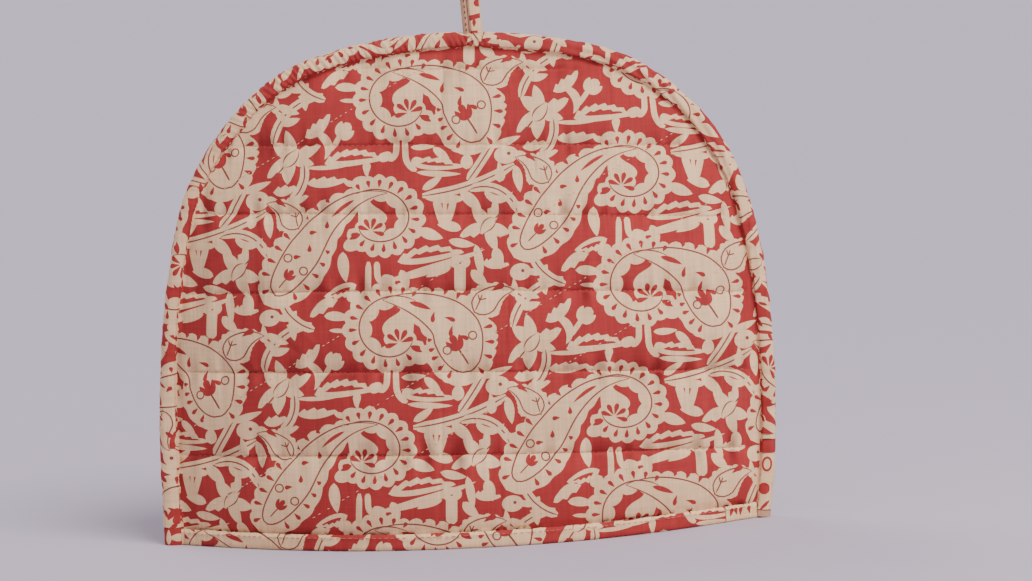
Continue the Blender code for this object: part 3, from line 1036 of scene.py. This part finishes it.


# the print where the roll's two ends show, short red strokes at random between them, and painted shade with a
# painted shadow line on the folded right end
front, end = ROLL_SHARE / 2, EDGE_LONG
roll_art = red(patch(-1, 9.5, -1, front + 2))
roll_art += cream(bar((4.4, 1.6), (4.2, 8.4), 4.2), bar((0.5, 9.2), (8.6, 8.8), 2.6),
                  patch(end - 45, end + 1, -1, front + 2))
roll_art += red(patch(end - 42, end - 34.6, 1.0, front + 2), oval(end - 28.6, 6.4, 4.2, 3.0))
roll_art += cream(oval(end - 28.6, 6.4, 2.9, 1.8))
roll_art += red(oval(end - 15.2, 5.8, 3.2, 3.3), bar((end - 9, 9.5), (end - 3, 4.0), 1.8))
# the folded end in brown painted shade, and a dark painted shadow line where it folds
roll_art += in_tone(LINING_AND_SHADE, patch(end - 3.4, end + 1, -1, front + 2))
roll_art += ink(patch(end - 3.9, end - 3.3, 0.8, front))
draws = np.random.default_rng(5)
strokes = []
for place in np.arange(16, end - 52, 8.5):
    bend, long, wide = draws.uniform(-30, 30), draws.uniform(5, 10), draws.uniform(1.6, 3.2)
    start = (place + draws.uniform(-2, 2), draws.uniform(0.5, ROLL_SHARE - 8))
    strokes += red(stroke(start, draws.uniform(25, 70), (long, bend), wide))
edge_roll = strip_cloth("edge_roll", "edge_binding", EDGE_LONG, ROLL_SHARE, (0, 0, 45, 1), roll_gathered, 1,
                        ROLL_STEP, strokes + roll_art)
# the dense dark row in each groove is thread with painted shade: it darkens the groove where shade falls
for face, seam in (("front", ROLL_SEAM), ("back", ROLL_SHARE - ROLL_SEAM)):
    path = np.array([(4.0, seam), (EDGE_LONG - 4.0, seam)])
    row, top_row = sewn_row(path, 2.9, 2.7, 70), sewn_row(path, 3.6, 2.4, 71, 0.55)
    name = f"edge_roll_{face}"
    stitches(name + "_stitches", roll_gathered, 1, [row], 0.34, DARK_THREAD_AND_SHADE)
    stitches(name + "_top_stitches", roll_gathered, 1, [top_row], 0.44, PALE_THREAD)


# ---- Hem strips ----
# A strip of the same print folded over each panel's lower edge and sewn through, its fold flat
# on the floor. A cream piece is joined on at its right end.

HEM_THICK = 6.6
hem_half = HEM_THICK / 2
hem_corners = [(-1.5, 7.4), (-hem_half + 0.4, 8.6), (-hem_half, 7.0), (-hem_half, 1.6),
               (-hem_half + 1.3, 0.0), (hem_half - 1.3, 0.0), (hem_half, 1.4), (hem_half + 0.1, 4.6),
               (hem_half - 0.1, 7.4), (hem_half - 1.0, 8.9), (1.4, 8.2)]
HEM_SECTION, HEM_SHARE = folded_section(hem_corners)
HEM_SEAM = 3.4
HEM_SEAM_DEEP = 0.6
HEM_END = 22.3
HEM_END_STEP = 0.55
HEM_LEFT = DOME_EDGE[0][0] + EDGE_WIDE_CORNER - 1.0
HEM_RIGHT = DOME_EDGE[-1][0] - EDGE_WIDE + 1.0


def hem_strip(name, node, side, chart, seed):
    """One hem strip, laid along the line on which its panel stands, and its row of stitches."""
    x = np.linspace(HEM_LEFT, HEM_RIGHT, 400)
    base = stand(x, height_on_pattern(x, 0.0), side)[:, :2]
    long = run_of(base)[-1]
    outward = left_of(base) * side

    def body(along, across):
        foot = along_path(base, along)
        out = at_places(along, run_of(base), outward)
        section = along_path(HEM_SECTION, across)
        room = np.minimum(1.0, (np.abs(foot[:, 1]) - 0.3) / hem_half)
        placed = foot + out * (section[:, 0] * room)[:, None]
        return np.column_stack([placed, section[:, 1]])

    def puckered(along, across):
        off_floor = np.clip((body(along, across)[:, 2] - 0.5) / 3, 0, 1)
        lift = 0.35 * waves(along, 0.4 * across, 9.0, seed) * off_floor
        lift = lift + HEM_END_STEP * off_floor * np.clip((along - long + HEM_END) / 0.7, 0, 1)
        for seam in (HEM_SEAM, HEM_SHARE - HEM_SEAM):
            lift = lift - HEM_SEAM_DEEP * hump(across, seam, SEAM_GROOVE)
        return raised(body, along, across, side * lift)

    # the joined piece with four red ticks, and a dark line along its join: painted shade at the step
    tick_end = HEM_SHARE - 3.0
    art = cream(patch(long - HEM_END, long + 1, -1, HEM_SHARE + 1))
    for back, lean, tall in ((17.6, -1.6, 4.6), (16.0, 1.4, 4.2), (12.0, -0.5, 5.0), (7.0, 0.8, 4.6)):
        tick = bar((long - back + lean, tick_end - tall), (long - back, tick_end), 2.5, DROP)
        art += red(tick)
    art += ink(bar((long - HEM_END, tick_end + 2), (long - HEM_END, tick_end - 8), 0.5, STEM))
    made = strip_cloth(name, node, long, HEM_SHARE, chart, puckered, side, art=art)
    path = np.array([(4.0, HEM_SHARE - HEM_SEAM), (long - 4.0, HEM_SHARE - HEM_SEAM)])
    row = sewn_row(path, 3.2, 2.2, seed, 0.1)
    stitches(name + "_stitches", puckered, side, [row], 0.36, SEAM_THREAD)


hem_strip("front_hem_strip", "hem_binding_front", -1, (40, 10, 0, 1), 31)
hem_strip("back_hem_strip", "hem_binding_back", 1, (10, 60, 0, 1), 32)


# ---- Hanging loop ----
# A folded strap bent double and sewn into the top of the roll: its left leg edge on, its right
# leg turned to face the front.

LOOP_LEAN = -2.7
LOOP_HIGH = 49.4
LOOP_EYE_WIDE = 15.0
LOOP_EYE_FROM = 0.52
LOOP_LEG_APART = 5.2
STRAP_WIDE = 6.4
STRAP_THICK = 2.6
STRAP_STEP = 0.9
LEFT_LEG_TURN = math.radians(-14)
RIGHT_LEG_TURN = math.radians(78)
RIGHT_LEG_FROM = 0.62


def loop_line():
    """The strap's middle line, its width direction and the way it faces, at even steps."""
    t = np.linspace(0, 1, 90)
    up = LOOP_HIGH * np.sin(np.pi * t) ** 0.75
    eye = np.maximum(0, (up / LOOP_HIGH - LOOP_EYE_FROM) / (1 - LOOP_EYE_FROM))
    apart = LOOP_LEG_APART + (LOOP_EYE_WIDE - LOOP_LEG_APART) * np.sin(np.pi * eye**0.8)
    side = -np.sign(np.cos(np.pi * t))
    x = side * apart / 2 * np.minimum(1, np.abs(np.cos(np.pi * t)) * 2.2)
    line = np.column_stack([x, 0 * x, up])
    along = np.gradient(line, axis=0)
    along /= np.linalg.norm(along, axis=1)[:, None]
    turn = np.interp(t, (0, 0.3, 0.5, RIGHT_LEG_FROM, 0.8, 1),
                     (LEFT_LEG_TURN, LEFT_LEG_TURN, 0, 0, RIGHT_LEG_TURN, RIGHT_LEG_TURN))
    deep = np.array((0, 1, 0))
    wide = deep * np.cos(turn)[:, None] + np.cross(along, deep) * np.sin(turn)[:, None]
    return line, wide, np.cross(along, wide)


LOOP_LINE, LOOP_WIDE, LOOP_FLAT = loop_line()
LOOP_RUN = run_of(LOOP_LINE)
strap_corners = [(0.30, 0.25), (0.44, 0.48), (0.50, 0.20), (0.50, -0.20), (0.42, -0.48), (0.0, -0.52),
                 (-0.42, -0.48), (-0.50, -0.20), (-0.50, 0.20), (-0.42, 0.48), (0.0, 0.52), (0.40, 0.40)]
STRAP_SECTION, STRAP_SHARE = folded_section([(a * STRAP_WIDE, b * STRAP_THICK) for a, b in strap_corners])


def strap(along, across):
    """The bent strap, leaning a little, as places along and across it."""
    line, wide, flat = [at_places(along, LOOP_RUN, rows) for rows in (LOOP_LINE, LOOP_WIDE, LOOP_FLAT)]
    section = along_path(STRAP_SECTION, across)
    placed = line + wide * section[:, :1] + flat * section[:, 1:]
    c, s = across_and_up(LOOP_LEAN)
    x, y, z = placed.T
    return np.column_stack([LOOP_FOOT[0] + c * x + s * z, y, LOOP_FOOT[1] - s * x + c * z])


# painted shade in brown where the left leg shows its folded edge, turned from the light, and the print at the
# right leg's foot
foot, edge = LOOP_RUN[-1], STRAP_SHARE
fold = run_of(STRAP_SECTION)[STRAP_SECTION[:, 0] < -0.49 * STRAP_WIDE].mean()
slanting = [(foot - 12.4, edge + 1), (foot - 9.8, edge + 1), (foot - 8.6, edge - 6.5),
            (foot - 11.2, edge - 6.5)]
strap_art = in_tone(LINING_AND_SHADE, patch(-1, 0.36 * foot, fold - 4.6, fold + 1.7))
strap_art += cream(patch(foot - 22, foot + 1, -1, edge + 1))
strap_art += red(oval(foot - 17.6, edge - 0.9, 2.0, 2.0), np.array(slanting),
                 bar((foot - 9.4, edge - 3.4), (foot - 5.2, edge - 3.9), 2.0),
                 patch(foot - 3.2, foot + 1, edge - 6.5, edge - 2.2))
hanging_strap = strip_cloth("hanging_strap", "hanging_loop", foot, edge, (30, 20, 0, 1), strap, 1,
                            STRAP_STEP, strap_art)
row = sewn_row(np.array([(1.0, fold - 0.9), (24.0, fold - 0.9)]), 3.1, 1.6, 81)
stitches("hanging_strap_stitches", strap, 1, [row], 0.62, DARK_THREAD_AND_SHADE)


# ---- Floor, light and camera ----
# A pale lilac-grey floor out to the horizon, an even soft light from above and a little to the
# right, a softbox close by on the right, and a long lens from a little above the hem.

FLOOR_REACH = 16.0
FLOOR_COLOUR = (0.495, 0.442, 0.532)
bpy.ops.mesh.primitive_circle_add(vertices=96, radius=FLOOR_REACH, fill_type="NGON")
floor = bpy.context.object
floor.name = "floor"
paper = bpy.data.materials.new("pale_paper")
paper.use_nodes = True
paper_shader = paper.node_tree.nodes["Principled BSDF"]
paper_shader.inputs["Base Color"].default_value = (*FLOOR_COLOUR, 1)
paper_shader.inputs["Roughness"].default_value = 0.95
paper_shader.inputs["Specular IOR Level"].default_value = 0.1
floor.data.materials.append(paper)


def sun(name, towards, strength, spread, colour):
    """An even light that comes from the direction given, soft over the spread in degrees."""
    lamp = bpy.data.lights.new(name, "SUN")
    lamp.energy = strength
    lamp.angle = math.radians(spread)
    lamp.color = colour
    in_scene(name, lamp).rotation_euler = (-Vector(towards)).to_track_quat("-Z", "Y").to_euler()


sun("key", (0.55, -0.70, 1.1), 2.95, 30, (1.0, 0.97, 0.94))
sun("fill", (-0.9, -0.6, 0.5), 0.12, 60, (0.94, 0.96, 1.0))
sun("back", (-0.7, 0.8, 0.7), 1.1, 40, (1.0, 0.98, 0.96))

SOFTBOX_AT = Vector((0.62, -0.42, 0.42))
SOFTBOX_AIM = Vector((0.05, 0.0, 0.15))
softbox = bpy.data.lights.new("softbox", "AREA")
softbox.energy = 1.9
softbox.size = 0.45
softbox_lamp = in_scene("softbox", softbox)
softbox_lamp.location = SOFTBOX_AT
softbox_lamp.rotation_euler = (SOFTBOX_AIM - SOFTBOX_AT).to_track_quat("-Z", "Y").to_euler()
softbox_lamp.visible_camera = False

world = bpy.data.worlds.new("studio")
world.use_nodes = True
sky = world.node_tree.nodes["Background"].inputs
sky["Color"].default_value = (0.92, 0.90, 1.0, 1)
sky["Strength"].default_value = 0.6
bpy.context.scene.world = world

VIEW_WIDE = 0.5500
SENSOR_WIDE = 36.0
CAMERA_AWAY = 2.2
CAMERA_UP = math.radians(6.5)
CAMERA_ROLL = math.radians(2.727)
CAMERA_AIM = Vector((0.0291, 0.0, 0.1279))
lens = bpy.data.cameras.new("camera")
lens.sensor_width = SENSOR_WIDE
lens.lens = SENSOR_WIDE * CAMERA_AWAY / VIEW_WIDE
lens.clip_end = 60.0
camera = in_scene("camera", lens)
back = Vector((0, -math.cos(CAMERA_UP), math.sin(CAMERA_UP)))
camera.location = CAMERA_AIM + back * CAMERA_AWAY
camera.rotation_mode = "QUATERNION"
level = (-back).to_track_quat("-Z", "Y")
camera.rotation_quaternion = level @ Euler((0, 0, -CAMERA_ROLL)).to_quaternion()
bpy.context.scene.camera = camera
